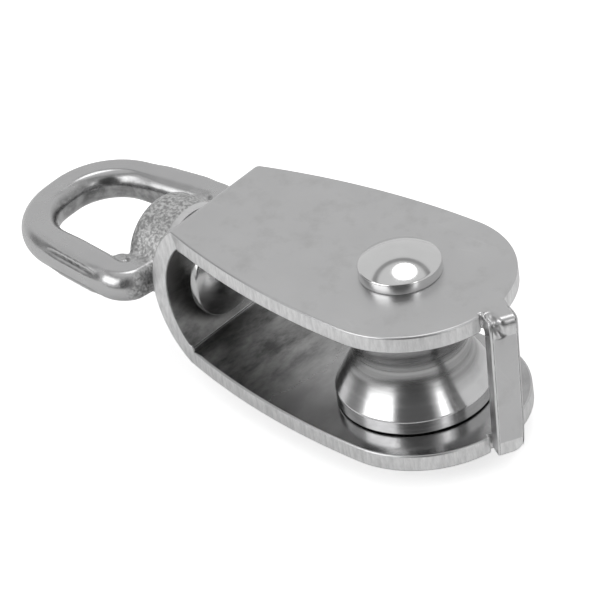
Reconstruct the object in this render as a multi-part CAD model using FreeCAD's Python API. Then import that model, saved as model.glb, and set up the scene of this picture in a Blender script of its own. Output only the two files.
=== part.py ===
"""Single swivel-eye sheave block: a bent sheet frame, a sheave on a riveted axle and a cast D-ring eye.

The block lies on one cheek. The origin is on the axle, half-way between the cheeks. +Z runs along the
axle, +X towards the round tail and its keeper strap, and the swivel eye is at -X. Millimetres.
"""
import FreeCAD, Part
import math
import os
from FreeCAD import Vector

# ---- driving dimensions --------------------------------------------------------------------------
# frame: one sheet bent into two cheeks, a bowed end wall and a keeper strap
SHEET = 3.0
CHEEK_GAP = 19.4
AXLE_TO_BEND = 38.5
WALL_BOW = 5.8
CHEEK_MARGIN = 4.2
TAIL_SHIFT = 1.8
SIDE_RADIUS = 137.0
BEND_OUTER_ROUND = 1.2
BEND_INNER_ROUND = 0.5
STRAP_TURN = -30.0
STRAP_WIDTH = 4.6
STRAP_SIDE_SHIFT = 7.3
STRAP_LEAN = 1.1
STRAP_SETBACK = 1.65
STRAP_BEND_INNER = 0.4
STRAP_END_LEVEL = 0.7
STRAP_END_ROUND = 2.2
STRAP_RELIEF = 0.8
STRAP_CLEARANCE = 0.3
# sheave and axle
SHEAVE_DIAMETER = 25.0
GROOVE_DEPTH = 3.3
GROOVE_ROUND = 6.0
RIM_WIDTH = 2.3
RIM_CHAMFER = 0.3
AXLE_DIAMETER = 7.0
AXLE_HEAD_DIAMETER = 13.2
AXLE_HEAD_BAND = 1.8
AXLE_HEAD_DOME = 1.9
SLEEVE_WALL = 1.0
BUSH_WALL = 1.5
SHIM_THICKNESS = 0.2
SHIM_WIDTH = 2.4
# swivel eye and its pin
EYE_BAR = 6.2
EYE_THICKNESS = 5.6
EYE_LENGTH = 32.5
EYE_NOSE_HALF = 9.8
EYE_BASE_HALF = 13.0
EYE_NOSE_ROUND = 9.7
EYE_BASE_BEND = 0.3
EYE_BASE_EXTRA = 1.6
EYE_INNER_ROUND = 3.0
HUB_DIAMETER = 16.6
HUB_LENGTH = 8.2
HUB_ROUND = 2.8
PIN_DIAMETER = 8.0
PIN_HEAD_BAND = 2.1
PIN_HEAD_DOME = 1.9
PIN_SINK = 1.3
PIN_SINK_ANGLE = 45.0
# fits
RIVET_CLEARANCE = 0.05
RUNNING_CLEARANCE = 0.05
SIDE_PLAY = 0.05
SWIVEL_PLAY = 0.1
HEAD_SIDE_GAP = 1.5

# ---- sizes that follow ---------------------------------------------------------------------------
HALF_GAP = CHEEK_GAP / 2
HALF_HEIGHT = HALF_GAP + SHEET
BEND_X = -AXLE_TO_BEND
WALL_X = BEND_X - WALL_BOW
WALL_OUTER_RADIUS = (HALF_HEIGHT ** 2 + WALL_BOW ** 2) / (2 * WALL_BOW)
WALL_INNER_RADIUS = WALL_OUTER_RADIUS - SHEET
WALL_CENTRE_X = WALL_X + WALL_OUTER_RADIUS
TAIL_RADIUS = SHEAVE_DIAMETER / 2 + CHEEK_MARGIN
SIDE_CENTRE_Y = TAIL_RADIUS - SIDE_RADIUS
SLEEVE_RADIUS = AXLE_DIAMETER / 2 + RUNNING_CLEARANCE + SLEEVE_WALL
BUSH_BORE = SLEEVE_RADIUS + RUNNING_CLEARANCE
BUSH_RADIUS = BUSH_BORE + BUSH_WALL
SHEAVE_WIDTH = CHEEK_GAP - 2 * (SHIM_THICKNESS + SIDE_PLAY)
PIN_RADIUS = PIN_DIAMETER / 2
PIN_HEAD_RADIUS = HALF_GAP - HEAD_SIDE_GAP
PIN_HEAD_X = WALL_CENTRE_X - math.sqrt(WALL_INNER_RADIUS ** 2 - PIN_HEAD_RADIUS ** 2) + SWIVEL_PLAY
HUB_FACE_X = WALL_X - SWIVEL_PLAY
EYE_BASE_X = HUB_FACE_X - EYE_BAR / 2
EYE_BASE_ROUND = EYE_BAR / 2 + EYE_BASE_BEND
EYE_BASE_WIDTH = EYE_BAR + EYE_BASE_EXTRA
EYE_NOSE_X = HUB_FACE_X - EYE_LENGTH + EYE_BAR / 2
HUB_END_X = HUB_FACE_X - HUB_LENGTH
AXIS_X = Vector(1, 0, 0)
AXIS_Z = Vector(0, 0, 1)


# ---- helpers -------------------------------------------------------------------------------------
def line(start, end):
    """Straight edge between two points."""
    return Part.makeLine(start, end)


def arc(start, middle, end):
    """Circular edge through three points."""
    return Part.Arc(start, middle, end).toShape()


def on_circle(centre_a, centre_b, radius, angle):
    """Plane coordinates of the point of a circle at an angle in degrees."""
    turn = math.radians(angle)
    return centre_a + radius * math.cos(turn), centre_b + radius * math.sin(turn)


def face_of(edges):
    """Flat face inside a closed loop of edges."""
    return Part.Face(Part.Wire(edges))


def tube(outer, inner, start, length, axis):
    """Plain ring: a cylinder with a hole along its axis."""
    body = Part.makeCylinder(outer, length, start, axis)
    return body.cut(Part.makeCylinder(inner, length, start, axis))


def turned(profile):
    """Solid turned round the axle from (radius, height) points, with 'arc' marking a middle point."""
    edges = []
    points = [Vector(item[0], 0, item[1]) for item in profile]
    index = 0
    while index < len(profile):
        following = (index + 1) % len(profile)
        if len(profile[following]) == 3:
            after = (index + 2) % len(profile)
            edges.append(arc(points[index], points[following], points[after]))
            index += 2
        else:
            edges.append(line(points[index], points[following]))
            index += 1
    return face_of(edges).revolve(Vector(0, 0, 0), AXIS_Z, 360)


def dome_middle(radius, base, height):
    """Half-way point of a dome's arc from its rim at (radius, base) to its crown at (0, base + height)."""
    ball = (radius ** 2 + height ** 2) / (2 * height)
    half_turn = math.asin(radius / ball) / 2
    return ball * math.sin(half_turn), base + height - ball * (1 - math.cos(half_turn)), "arc"


# ---- frame ---------------------------------------------------------------------------------------
def side_view():
    """The bent sheet seen from the side: two cheeks joined by a bowed wall, as a face in XZ."""
    tail_end = TAIL_SHIFT + TAIL_RADIUS + SHEET
    inner_x = WALL_CENTRE_X - math.sqrt(WALL_INNER_RADIUS ** 2 - HALF_GAP ** 2)

    def at(x, z):
        return Vector(x, 0, z)

    return face_of([
        line(at(tail_end, HALF_HEIGHT), at(BEND_X, HALF_HEIGHT)),
        arc(at(BEND_X, HALF_HEIGHT), at(WALL_X, 0), at(BEND_X, -HALF_HEIGHT)),
        line(at(BEND_X, -HALF_HEIGHT), at(tail_end, -HALF_HEIGHT)),
        line(at(tail_end, -HALF_HEIGHT), at(tail_end, -HALF_GAP)),
        line(at(tail_end, -HALF_GAP), at(inner_x, -HALF_GAP)),
        arc(at(inner_x, -HALF_GAP), at(WALL_CENTRE_X - WALL_INNER_RADIUS, 0), at(inner_x, HALF_GAP)),
        line(at(inner_x, HALF_GAP), at(tail_end, HALF_GAP)),
        line(at(tail_end, HALF_GAP), at(tail_end, HALF_HEIGHT)),
    ])


def bend_edges(solid, x_from, x_to):
    """Edges that run along Y at a bend between two X stations."""
    found = []
    for edge in solid.Edges:
        box = edge.BoundBox
        along_y = box.YLength > 1 and box.XLength < 0.01 and box.ZLength < 0.01
        if along_y and x_from < box.XMin < x_to:
            found.append(edge)
    return found


def bent_sheet():
    """The sheet bent to shape, still square in plan, with its bends rounded."""
    width = 4 * TAIL_RADIUS
    solid = side_view().extrude(Vector(0, width, 0))
    solid.translate(Vector(0, -width / 2, 0))
    outer = bend_edges(solid, BEND_X - 0.1, BEND_X + 0.1)
    solid = solid.makeFillet(BEND_OUTER_ROUND, outer)
    inner = bend_edges(solid, BEND_X - WALL_BOW, BEND_X + WALL_BOW)
    inner = [edge for edge in inner if abs(abs(edge.BoundBox.ZMin) - HALF_GAP) < 0.01]
    return solid.makeFillet(BEND_INNER_ROUND, inner)


def plan_outline():
    """Outline of both cheeks from above: round tail, gently curved sides and a straight end."""
    side_drop = SIDE_RADIUS - math.sqrt(SIDE_RADIUS ** 2 - (BEND_X - TAIL_SHIFT) ** 2)
    end_half = TAIL_RADIUS - side_drop
    middle_x = (BEND_X + TAIL_SHIFT) / 2
    middle_y = SIDE_CENTRE_Y + math.sqrt(SIDE_RADIUS ** 2 - (middle_x - TAIL_SHIFT) ** 2)
    end_x = WALL_X - SHEET

    def at(x, y):
        return Vector(x, y, 0)

    return face_of([
        line(at(end_x, -end_half), at(BEND_X, -end_half)),
        arc(at(BEND_X, -end_half), at(middle_x, -middle_y), at(TAIL_SHIFT, -TAIL_RADIUS)),
        arc(at(TAIL_SHIFT, -TAIL_RADIUS), at(TAIL_SHIFT + TAIL_RADIUS, 0), at(TAIL_SHIFT, TAIL_RADIUS)),
        arc(at(TAIL_SHIFT, TAIL_RADIUS), at(middle_x, middle_y), at(BEND_X, end_half)),
        line(at(BEND_X, end_half), at(end_x, end_half)),
        line(at(end_x, end_half), at(end_x, -end_half)),
    ])


def turned_to_strap(solid):
    """Turn a solid made along +X into the strap's direction, round the centre of the tail."""
    solid.rotate(Vector(0, 0, 0), AXIS_Z, STRAP_TURN)
    solid.translate(Vector(TAIL_SHIFT, 0, 0))
    return solid


def strap_block(x_from, x_to, y_from, y_to, z_from, z_to):
    """Box in the strap's own directions: X away from the tail's centre and Y across the strap."""
    size = (x_to - x_from, y_to - y_from, z_to - z_from)
    return turned_to_strap(Part.makeBox(*size, Vector(x_from, y_from, z_from)))


def strap_front(end_z, x_from, x_to):
    """Outline of the strap from outside, leaning sideways towards its top, as deep as its section."""
    low = STRAP_SIDE_SHIFT - STRAP_WIDTH / 2
    high = STRAP_SIDE_SHIFT + STRAP_WIDTH / 2

    def at(y, z):
        return Vector(x_from, y, z)

    outline = face_of([
        line(at(low, end_z), at(high, end_z)),
        line(at(high, end_z), at(high + STRAP_LEAN, HALF_GAP)),
        line(at(high + STRAP_LEAN, HALF_GAP), at(high + STRAP_LEAN, HALF_HEIGHT)),
        line(at(high + STRAP_LEAN, HALF_HEIGHT), at(low + STRAP_LEAN, HALF_HEIGHT)),
        line(at(low + STRAP_LEAN, HALF_HEIGHT), at(low + STRAP_LEAN, HALF_GAP)),
        line(at(low + STRAP_LEAN, HALF_GAP), at(low, end_z)),
    ])
    return outline.extrude(Vector(x_to - x_from, 0, 0))


def keeper_strap():
    """Narrow tab that turns down from the upper cheek and closes the mouth of the block."""
    root = TAIL_RADIUS - STRAP_SETBACK
    bend_outer = STRAP_BEND_INNER + SHEET
    bend_z = HALF_HEIGHT - bend_outer
    end_z = -HALF_HEIGHT + STRAP_END_LEVEL
    out_x = root + bend_outer
    in_x = root + STRAP_BEND_INNER
    start_x = root - SHEET

    def at(x, z):
        return Vector(x, STRAP_SIDE_SHIFT - STRAP_WIDTH / 2, z)

    outer_mid = on_circle(root, bend_z, bend_outer, 45)
    inner_mid = on_circle(root, bend_z, STRAP_BEND_INNER, 45)
    section = face_of([
        line(at(start_x, HALF_HEIGHT), at(root, HALF_HEIGHT)),
        arc(at(root, HALF_HEIGHT), at(*outer_mid), at(out_x, bend_z)),
        line(at(out_x, bend_z), at(out_x, end_z)),
        line(at(out_x, end_z), at(in_x, end_z)),
        line(at(in_x, end_z), at(in_x, bend_z)),
        arc(at(in_x, bend_z), at(*inner_mid), at(root, HALF_GAP)),
        line(at(root, HALF_GAP), at(start_x, HALF_GAP)),
        line(at(start_x, HALF_GAP), at(start_x, HALF_HEIGHT)),
    ])
    strip = section.extrude(Vector(0, STRAP_WIDTH + STRAP_LEAN, 0))
    strap = strip.common(strap_front(end_z, start_x, out_x))
    corner = [edge for edge in strap.Edges
              if abs(edge.BoundBox.ZMin - end_z) < 0.01 and edge.BoundBox.ZLength < 0.01
              and edge.BoundBox.YMin > STRAP_SIDE_SHIFT]
    strap = strap.makeFillet(STRAP_END_ROUND, corner)
    return turned_to_strap(strap)


def strap_cuts():
    """What the cheeks lose beside the strap: its relief slot above and its passing flat below."""
    root = TAIL_RADIUS - STRAP_SETBACK
    reach = TAIL_RADIUS + SHEET
    low_side = STRAP_SIDE_SHIFT - STRAP_WIDTH / 2
    high_side = STRAP_SIDE_SHIFT + STRAP_WIDTH / 2
    top_side = low_side + STRAP_LEAN
    relief = strap_block(root, reach, top_side - STRAP_RELIEF, top_side, 0, HALF_HEIGHT)
    corner = strap_block(root, reach, top_side, high_side + STRAP_LEAN, 0, HALF_HEIGHT)
    flat_x = root + STRAP_BEND_INNER - STRAP_CLEARANCE
    flat = strap_block(flat_x, reach, low_side - STRAP_CLEARANCE, high_side + SHEET, -HALF_HEIGHT, 0)
    return [relief, corner, flat]


def make_frame():
    """Whole frame: bent sheet, cut to its outline, with its strap and the three pin holes."""
    outline = plan_outline().extrude(Vector(0, 0, 2 * HALF_HEIGHT))
    outline.translate(Vector(0, 0, -HALF_HEIGHT))
    frame = bent_sheet().common(outline)
    frame = frame.cut(strap_cuts())
    frame = frame.fuse(keeper_strap()).removeSplitter()
    axle_hole = AXLE_DIAMETER / 2 + RIVET_CLEARANCE
    frame = frame.cut(Part.makeCylinder(axle_hole, 2 * HALF_HEIGHT, Vector(0, 0, -HALF_HEIGHT)))
    pin_hole = PIN_RADIUS + RUNNING_CLEARANCE
    start = Vector(WALL_X - SHEET, 0, 0)
    return frame.cut(Part.makeCylinder(pin_hole, WALL_BOW + 2 * SHEET, start, AXIS_X))


# ---- axle and sheave -----------------------------------------------------------------------------
def make_axle_rivet():
    """Axle with a domed head at each end, gripping both cheeks."""
    shank = AXLE_DIAMETER / 2
    head = AXLE_HEAD_DIAMETER / 2
    band = HALF_HEIGHT + AXLE_HEAD_BAND
    crown = band + AXLE_HEAD_DOME
    rise = dome_middle(head, band, AXLE_HEAD_DOME)
    return turned([
        (0, -crown),
        (rise[0], -rise[1], "arc"),
        (head, -band),
        (head, -HALF_HEIGHT),
        (shank, -HALF_HEIGHT),
        (shank, HALF_HEIGHT),
        (head, HALF_HEIGHT),
        (head, band),
        rise,
        (0, crown),
    ])


def make_axle_sleeve():
    """Spacer tube clamped between the cheeks, so the rivet can be closed without gripping the sheave."""
    bore = AXLE_DIAMETER / 2 + RUNNING_CLEARANCE
    return tube(SLEEVE_RADIUS, bore, Vector(0, 0, -HALF_GAP), CHEEK_GAP, AXIS_Z)


def make_shim_washers():
    """Two thin washers, one lying on each cheek, that keep the sheave off the sheet."""
    bore = SLEEVE_RADIUS + RUNNING_CLEARANCE
    lower = tube(bore + SHIM_WIDTH, bore, Vector(0, 0, -HALF_GAP), SHIM_THICKNESS, AXIS_Z)
    upper = tube(bore + SHIM_WIDTH, bore, Vector(0, 0, HALF_GAP - SHIM_THICKNESS), SHIM_THICKNESS, AXIS_Z)
    return Part.makeCompound([lower, upper])


def make_sheave_bush():
    """Plain bush pressed into the sheave and turning on the sleeve."""
    return tube(BUSH_RADIUS, BUSH_BORE, Vector(0, 0, -SHEAVE_WIDTH / 2), SHEAVE_WIDTH, AXIS_Z)


def make_sheave():
    """Turned sheave: two plain rims, straight flanks and a round-bottomed rope groove."""
    rim = SHEAVE_DIAMETER / 2
    half = SHEAVE_WIDTH / 2
    lip = half - RIM_WIDTH
    bottom = rim - GROOVE_DEPTH
    centre = bottom + GROOVE_ROUND
    # the flank leaves the rim's edge and is tangent to the round bottom
    reach_r = centre - rim
    distance = math.hypot(reach_r, lip)
    lean = math.acos(GROOVE_ROUND / distance)
    aim = math.atan2(lip, -reach_r)
    turn = math.pi - aim - lean
    touch_r = centre - GROOVE_ROUND * math.cos(turn)
    touch_z = GROOVE_ROUND * math.sin(turn)
    return turned([
        (BUSH_RADIUS, -half),
        (rim - RIM_CHAMFER, -half),
        (rim, -half + RIM_CHAMFER),
        (rim, -lip),
        (touch_r, -touch_z),
        (bottom, 0, "arc"),
        (touch_r, touch_z),
        (rim, lip),
        (rim, half - RIM_CHAMFER),
        (rim - RIM_CHAMFER, half),
        (BUSH_RADIUS, half),
    ])


# ---- swivel eye ----------------------------------------------------------------------------------
def rounded_loop(corners, rounds):
    """Closed wire of straight runs joined by tangent arcs, one at each corner."""
    edges = []
    ends = []
    count = len(corners)
    for index in range(count):
        here = corners[index]
        back = (corners[index - 1] - here).normalize()
        ahead = (corners[(index + 1) % count] - here).normalize()
        half_angle = back.getAngle(ahead) / 2
        inset = rounds[index] / math.tan(half_angle)
        depth = rounds[index] / math.sin(half_angle) - rounds[index]
        towards = (back + ahead).normalize()
        ends.append((here + back * inset, here + towards * depth, here + ahead * inset))
    for index in range(count):
        start, middle, end = ends[index]
        edges.append(arc(start, middle, end))
        edges.append(line(end, ends[(index + 1) % count][0]))
    return Part.Wire(edges)


def eye_ring():
    """D-ring of round bar, its upper and lower faces flattened."""
    corners = [
        Vector(EYE_BASE_X, -EYE_BASE_HALF, 0),
        Vector(EYE_NOSE_X, -EYE_NOSE_HALF, 0),
        Vector(EYE_NOSE_X, EYE_NOSE_HALF, 0),
        Vector(EYE_BASE_X, EYE_BASE_HALF, 0),
    ]
    path = rounded_loop(corners, [EYE_BASE_ROUND, EYE_NOSE_ROUND, EYE_NOSE_ROUND, EYE_BASE_ROUND])
    first = path.OrderedEdges[0]
    start = first.FirstParameter
    section = Part.makeCircle(EYE_BAR / 2, first.valueAt(start), first.tangentAt(start))
    ring = path.makePipeShell([Part.Wire([section])], True, True)
    reach = EYE_LENGTH + EYE_BAR
    slab = Part.makeBox(reach, 4 * EYE_BASE_HALF, EYE_THICKNESS,
                        Vector(HUB_FACE_X - reach + EYE_BAR, -2 * EYE_BASE_HALF, -EYE_THICKNESS / 2))
    return ring.fuse(eye_base_bar()).common(slab)


def eye_base_bar():
    """Oval base bar, wider than the ring's legs, with rounded webs in the ring's inner corners."""
    bar = EYE_BAR / 2
    inner_x = HUB_FACE_X - EYE_BASE_WIDTH
    half_length = EYE_BASE_HALF - EYE_BASE_ROUND
    length = 2 * half_length
    start = Vector(inner_x + bar, -half_length, 0)
    rod = Part.makeCylinder(bar, length, start, Vector(0, 1, 0))
    fill = Part.makeBox(EYE_BASE_EXTRA, length, EYE_BAR, start - Vector(0, 0, bar))
    web_y = EYE_BASE_HALF - bar - EYE_INNER_ROUND
    web = Part.makeBox(EYE_INNER_ROUND + bar, 2 * (web_y + EYE_INNER_ROUND), EYE_BAR / 2,
                       Vector(inner_x - EYE_INNER_ROUND, -web_y - EYE_INNER_ROUND, -EYE_BAR / 4))
    gap = Part.makeBox(EYE_INNER_ROUND, 2 * web_y, EYE_BAR, Vector(inner_x - EYE_INNER_ROUND, -web_y, -bar))
    web = web.cut(gap)
    for side in (-1, 1):
        spot = Vector(inner_x - EYE_INNER_ROUND, side * web_y, -bar)
        web = web.cut(Part.makeCylinder(EYE_INNER_ROUND, EYE_BAR, spot))
    return rod.fuse([fill, web])


def make_swivel_eye():
    """Cast eye: the D-ring with a round hub in its base bar, bored and countersunk for the pin."""
    hub = Part.makeCylinder(HUB_DIAMETER / 2, HUB_LENGTH, Vector(HUB_END_X, 0, 0), AXIS_X)
    far_edge = [edge for edge in hub.Edges
                if edge.BoundBox.XLength < 0.01 and abs(edge.BoundBox.XMin - HUB_END_X) < 0.01]
    hub = hub.makeFillet(HUB_ROUND, far_edge)
    eye = hub.fuse(eye_ring()).removeSplitter()
    bore = Part.makeCylinder(PIN_RADIUS, HUB_LENGTH, Vector(HUB_END_X, 0, 0), AXIS_X)
    return eye.cut([bore, pin_sink()])


def pin_sink():
    """Cone at the hub's far face that the pin's end is spread into."""
    spread = PIN_RADIUS + PIN_SINK * math.tan(math.radians(PIN_SINK_ANGLE))
    return Part.makeCone(spread, PIN_RADIUS, PIN_SINK, Vector(HUB_END_X, 0, 0), AXIS_X)


def make_swivel_pin():
    """Swivel pin: domed head inside the wall, shank through wall and hub, end spread flush."""
    rise = dome_middle(PIN_HEAD_RADIUS, PIN_HEAD_BAND, PIN_HEAD_DOME)
    head = turned([
        (0, 0),
        (PIN_HEAD_RADIUS, 0),
        (PIN_HEAD_RADIUS, PIN_HEAD_BAND),
        rise,
        (0, PIN_HEAD_BAND + PIN_HEAD_DOME),
    ])
    head.rotate(Vector(0, 0, 0), Vector(0, 1, 0), 90)
    head.translate(Vector(PIN_HEAD_X, 0, 0))
    shank = Part.makeCylinder(PIN_RADIUS, PIN_HEAD_X - HUB_END_X, Vector(HUB_END_X, 0, 0), AXIS_X)
    return head.fuse([shank, pin_sink()]).removeSplitter()


# ---- write every piece ---------------------------------------------------------------------------
PIECES = {
    "frame": make_frame,
    "axle_rivet": make_axle_rivet,
    "axle_sleeve": make_axle_sleeve,
    "shim_washers": make_shim_washers,
    "sheave": make_sheave,
    "sheave_bush": make_sheave_bush,
    "swivel_eye": make_swivel_eye,
    "swivel_pin": make_swivel_pin,
}

os.makedirs("parts", exist_ok=True)
for name, make in PIECES.items():
    shape = make()
    shape.exportStep(f"parts/{name}.step")
    box = shape.BoundBox
    print(f"{name}: {len(shape.Solids)} solid, {shape.Volume:.0f} mm3, x {box.XMin:.1f} {box.XMax:.1f}, "
          f"y {box.YMin:.1f} {box.YMax:.1f}, z {box.ZMin:.1f} {box.ZMax:.1f}")
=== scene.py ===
import math

import bmesh
import bpy
from mathutils import Matrix, Vector


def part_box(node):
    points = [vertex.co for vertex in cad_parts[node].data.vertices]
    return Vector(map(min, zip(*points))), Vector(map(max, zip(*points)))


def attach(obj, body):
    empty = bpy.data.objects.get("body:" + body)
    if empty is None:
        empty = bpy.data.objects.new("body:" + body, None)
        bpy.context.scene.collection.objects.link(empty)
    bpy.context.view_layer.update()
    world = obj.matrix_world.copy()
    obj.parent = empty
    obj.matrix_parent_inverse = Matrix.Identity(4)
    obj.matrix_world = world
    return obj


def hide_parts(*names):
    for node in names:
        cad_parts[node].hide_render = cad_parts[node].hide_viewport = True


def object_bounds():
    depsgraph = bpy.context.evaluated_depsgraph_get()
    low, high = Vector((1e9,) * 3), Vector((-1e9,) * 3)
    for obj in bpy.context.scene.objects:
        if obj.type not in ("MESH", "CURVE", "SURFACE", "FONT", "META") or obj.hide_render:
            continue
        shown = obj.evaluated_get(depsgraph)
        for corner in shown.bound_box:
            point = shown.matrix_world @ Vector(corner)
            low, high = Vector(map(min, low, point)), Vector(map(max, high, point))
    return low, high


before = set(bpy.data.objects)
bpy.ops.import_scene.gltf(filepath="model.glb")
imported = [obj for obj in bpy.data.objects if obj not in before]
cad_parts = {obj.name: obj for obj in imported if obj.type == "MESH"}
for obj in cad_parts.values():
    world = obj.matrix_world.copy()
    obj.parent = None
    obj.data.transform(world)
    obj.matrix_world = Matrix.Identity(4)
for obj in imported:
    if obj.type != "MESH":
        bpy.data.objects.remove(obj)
cad_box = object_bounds()

# ---- sizes of the block, in metres ----
MM = 0.001
frame_low, frame_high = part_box("frame")
sheave_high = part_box("sheave")[1]
rivet_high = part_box("axle_rivet")[1]
bush_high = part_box("sheave_bush")[1]
pin_low, pin_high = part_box("swivel_pin")

CHEEK_TOP = frame_high.z
SHEET = 3.0 * MM
CHEEK_INSIDE = CHEEK_TOP - SHEET
TAIL_RADIUS = frame_high.y
TAIL_CENTRE = 1.8 * MM
SIDE_RADIUS = 137.0 * MM
WALL_BOW = 5.8 * MM
WALL_X = frame_low.x
BEND_X = WALL_X + WALL_BOW
WALL_STEPS = 26
WALL_FIRST_RUN = math.radians(6.0)
OUTER_BEND_ROUND = 0.6 * MM
INNER_BEND_ROUND = 0.7 * MM
SHEET_EDGE_ROUND = 0.36 * MM
STRAP_TURN = math.radians(-30.0)
STRAP_ROOT = TAIL_RADIUS - 1.65 * MM
STRAP_WIDTH = 4.6 * MM
STRAP_SIDE = 5.0 * MM
STRAP_LEAN = 1.1 * MM
STRAP_END = -CHEEK_TOP + 0.7 * MM
STRAP_INNER = 0.4 * MM
STRAP_RELIEF = 0.45 * MM
STRAP_CLEARANCE = 0.3 * MM
STRAP_COLUMNS = 16
STRAP_SPREAD = 0.2 * MM
STRAP_FOOT_ROUND = 2.2 * MM
STRAP_GROOVE_DEPTH = 1.25 * MM
STRAP_GROOVE_WIDTH = 0.6 * MM
STRAP_GROOVE_START = 0.45 * MM
STRAP_GROOVE_TRAVEL = 1.35 * MM
AXLE_RADIUS = 3.5 * MM
PIN_RADIUS = 4.0 * MM
HOLE_CLEARANCE = 0.05 * MM
HUB_RADIUS = 8.3 * MM
HUB_FACE_X = WALL_X - 0.1 * MM
HUB_END_X = pin_low.x
SAME_PLACE = 0.02 * MM


# ---- making by hand ----
def clear_selection():
    """Leave edit mode with nothing selected."""
    active = bpy.context.view_layer.objects.active
    if active is not None and active.mode != "OBJECT":
        bpy.ops.object.mode_set(mode="OBJECT")
    bpy.ops.object.select_all(action="DESELECT")


def take_up(piece):
    """Select one piece alone, in object mode."""
    clear_selection()
    piece.select_set(True)
    bpy.context.view_layer.objects.active = piece


def start_edit(piece, mode="VERT"):
    """Take a piece into edit mode with nothing selected."""
    take_up(piece)
    bpy.ops.object.mode_set(mode="EDIT")
    bpy.ops.mesh.select_mode(type=mode)
    bpy.ops.mesh.select_all(action="DESELECT")


def end_edit():
    """Go back to object mode."""
    bpy.ops.object.mode_set(mode="OBJECT")


def pick(piece, kind, wanted):
    """Select just the verts, edges or faces whose place or direction passes the test."""
    bpy.ops.mesh.select_mode(type={"verts": "VERT", "edges": "EDGE", "faces": "FACE"}[kind])
    bpy.ops.mesh.select_all(action="DESELECT")
    mesh = bmesh.from_edit_mesh(piece.data)
    for item in getattr(mesh, kind):
        if wanted(item):
            item.select_set(True)
    mesh.select_flush_mode()
    bmesh.update_edit_mesh(piece.data)


def put_down(piece):
    """Put the piece's place and size in its mesh."""
    take_up(piece)
    bpy.ops.object.transform_apply(location=True, rotation=True, scale=True)
    return piece


def extrude_selected(step):
    """Extrude what is selected by a step."""
    bpy.ops.mesh.extrude_region_move(TRANSFORM_OT_translate={"value": step})


def spin_selected(angle, centre, axis, steps):
    """Spin what is selected, anticlockwise as seen from the axis's far end."""
    bpy.ops.mesh.spin(steps=steps, angle=-angle, center=centre, axis=axis)


def drawn_line(name, points):
    """A new piece in edit mode: a line drawn through the points, with its last point selected."""
    clear_selection()
    bpy.ops.mesh.primitive_plane_add(size=MM, location=points[0])
    piece = bpy.context.object
    piece.name = name
    piece.data.name = name
    start_edit(piece)
    bpy.ops.mesh.select_all(action="SELECT")
    bpy.ops.mesh.merge(type="CENTER")
    for here, following in zip(points, points[1:]):
        extrude_selected(following - here)
    return piece


def use_modifier(piece, kind, **settings):
    """Add a modifier, set it and apply it."""
    take_up(piece)
    modifier = piece.modifiers.new(kind.lower(), kind)
    for name, value in settings.items():
        setattr(modifier, name, value)
    bpy.ops.object.modifier_apply(modifier=modifier.name)


def cut_with(piece, cutter, operation="DIFFERENCE"):
    """Cut, join or trim a piece with another, which is used up."""
    use_modifier(piece, "BOOLEAN", operation=operation, solver="EXACT", object=cutter)
    bpy.data.objects.remove(cutter)


def break_edges(piece, width, segments=3, angle=28.0, clamp=True):
    """Round every sharp edge a little, as a file or a tumbling drum does."""
    use_modifier(piece, "BEVEL", width=width, segments=segments, limit_method="ANGLE",
                 angle_limit=math.radians(angle), use_clamp_overlap=clamp, profile=0.5)


def smooth_all(piece, weighted=True):
    """Shade smooth, the big faces keeping their own direction."""
    take_up(piece)
    bpy.ops.object.shade_smooth()
    if weighted:
        use_modifier(piece, "WEIGHTED_NORMAL", weight=60, keep_sharp=False)


def finish_piece(piece, body, node, material):
    """Give a finished piece its material and its body, and hide the CAD node that it stands for."""
    put_down(piece)
    piece.data.materials.clear()
    piece.data.materials.append(material)
    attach(piece, body)
    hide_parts(node)


def rod(name, radius, length, centre, axis, sides=96):
    """Round bar along one of the three axes."""
    clear_selection()
    turn = {"x": (0, math.radians(90), 0), "y": (math.radians(90), 0, 0), "z": (0, 0, 0)}[axis]
    bpy.ops.mesh.primitive_cylinder_add(vertices=sides, radius=radius, depth=length,
                                        location=centre, rotation=turn)
    piece = bpy.context.object
    piece.name = name
    return put_down(piece)


def block(name, low, high):
    """Square block between two corners."""
    clear_selection()
    low, high = Vector(low), Vector(high)
    bpy.ops.mesh.primitive_cube_add(size=1, location=(low + high) / 2)
    piece = bpy.context.object
    piece.name = name
    piece.scale = high - low
    return put_down(piece)


def turned_on_lathe(name, profile, edge, steps=160):
    """Piece turned round the Z axis from a profile of (radius, height) points."""
    points = [Vector((radius, 0, height)) for radius, height in profile]
    piece = drawn_line(name, points)
    if profile[0][0] > 0:
        bpy.ops.mesh.select_all(action="SELECT")
        bpy.ops.mesh.edge_face_add()
        bpy.ops.mesh.delete(type="ONLY_FACE")
    end_edit()
    put_down(piece)
    start_edit(piece)
    bpy.ops.mesh.select_all(action="SELECT")
    spin_selected(2 * math.pi, (0, 0, 0), (0, 0, 1), steps)
    bpy.ops.mesh.select_all(action="SELECT")
    bpy.ops.mesh.remove_doubles(threshold=0.004 * MM)
    bpy.ops.mesh.normals_make_consistent(inside=False)
    end_edit()
    break_edges(piece, edge)
    return piece


def laid_along_x(x):
    """Place of a piece that was turned round Z and is laid along X, its start at x."""
    return Matrix.Translation((x, 0, 0)) @ Matrix.Rotation(math.radians(90), 4, "Y")


# ---- frame: cheeks, end wall and keeper strap ----
def strap_point(along, across, height):
    """Point given in the strap's own directions, from the centre of the round tail."""
    turn = Matrix.Rotation(STRAP_TURN, 4, "Z")
    return Vector((TAIL_CENTRE, 0, 0)) + turn @ Vector((along, across, height))


def strap_directions():
    """Unit vectors out of the strap's face and across its width."""
    start = strap_point(0, 0, 0)
    return strap_point(1, 0, 0) - start, strap_point(0, 1, 0) - start


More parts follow.
